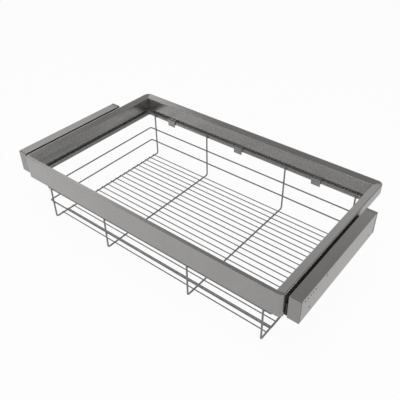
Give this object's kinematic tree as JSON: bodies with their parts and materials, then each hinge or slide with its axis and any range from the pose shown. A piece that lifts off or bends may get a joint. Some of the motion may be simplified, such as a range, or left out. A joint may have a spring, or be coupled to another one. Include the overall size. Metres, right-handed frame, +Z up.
{
  "type": "pull-out wire drawer",
  "caption": "Pull-out wire basket in a metal frame, running on telescopic slides between side boxes that screw into a wardrobe or base cabinet.",
  "frame": {"origin": "on the surface that the basket stands on, under the middle of the whole part", "axes": "+X to the right as seen from the front, -Y towards the front (the drawer opens along -Y), +Z up"},
  "size_m": [0.864, 0.468, 0.192],
  "materials": {
    "powder_coat": "satin grey powder coat",
    "coated_wire": "satin dark grey coat",
    "zinc_steel": "dark zinc plated",
    "dark_plastic": "matte"
  },
  "bodies": {
    "side_boxes": {"left_side_box": "powder_coat", "right_side_box": "powder_coat", "left_front_cap": "powder_coat", "right_front_cap": "powder_coat", "left_rear_cap": "powder_coat", "right_rear_cap": "powder_coat", "left_cabinet_member": "zinc_steel", "right_cabinet_member": "zinc_steel", "box_screws": "zinc_steel", "rear_bumpers": "dark_plastic"},
    "drawer": {"front_rail": "powder_coat", "rear_rail": "powder_coat", "left_side_rail": "powder_coat", "right_side_rail": "powder_coat", "front_corner_brackets": "zinc_steel", "rear_corner_brackets": "zinc_steel", "corner_screws": "zinc_steel", "left_drawer_member": "zinc_steel", "right_drawer_member": "zinc_steel", "left_spacers": "dark_plastic", "right_spacers": "dark_plastic", "spacer_screws": "zinc_steel", "rim_wire": "coated_wire", "upper_ring": "coated_wire", "lower_ring": "coated_wire", "cross_wires": "coated_wire", "floor_wires": "coated_wire", "basket_clips": "powder_coat"},
    "left_middle": {"left_middle_member": "zinc_steel"},
    "left_outer_cage": {"left_outer_cage": "dark_plastic", "left_outer_balls": "zinc_steel"},
    "left_inner_cage": {"left_inner_cage": "dark_plastic", "left_inner_balls": "zinc_steel"},
    "right_middle": {"right_middle_member": "zinc_steel"},
    "right_outer_cage": {"right_outer_cage": "dark_plastic", "right_outer_balls": "zinc_steel"},
    "right_inner_cage": {"right_inner_cage": "dark_plastic", "right_inner_balls": "zinc_steel"}
  },
  "joints": [
    {"name": "drawer_slide", "type": "slide", "parent": "side_boxes", "child": "drawer", "axis": [0, -1, 0], "range_m": [0, 0.3]},
    {"name": "left_middle_slide", "type": "slide", "parent": "side_boxes", "child": "left_middle", "axis": [0, -1, 0], "range_m": [0, 0.15]},
    {"name": "left_outer_cage_slide", "type": "slide", "parent": "side_boxes", "child": "left_outer_cage", "axis": [0, -1, 0], "range_m": [0, 0.075]},
    {"name": "left_inner_cage_slide", "type": "slide", "parent": "side_boxes", "child": "left_inner_cage", "axis": [0, -1, 0], "range_m": [0, 0.225]},
    {"name": "right_middle_slide", "type": "slide", "parent": "side_boxes", "child": "right_middle", "axis": [0, -1, 0], "range_m": [0, 0.15]},
    {"name": "right_outer_cage_slide", "type": "slide", "parent": "side_boxes", "child": "right_outer_cage", "axis": [0, -1, 0], "range_m": [0, 0.075]},
    {"name": "right_inner_cage_slide", "type": "slide", "parent": "side_boxes", "child": "right_inner_cage", "axis": [0, -1, 0], "range_m": [0, 0.225]}
  ],
  "couplings": [
    {"joint": "left_middle_slide", "follows": "drawer_slide", "ratio": 0.5},
    {"joint": "left_outer_cage_slide", "follows": "drawer_slide", "ratio": 0.25},
    {"joint": "left_inner_cage_slide", "follows": "drawer_slide", "ratio": 0.75},
    {"joint": "right_middle_slide", "follows": "drawer_slide", "ratio": 0.5},
    {"joint": "right_outer_cage_slide", "follows": "drawer_slide", "ratio": 0.25},
    {"joint": "right_inner_cage_slide", "follows": "drawer_slide", "ratio": 0.75}
  ]
}
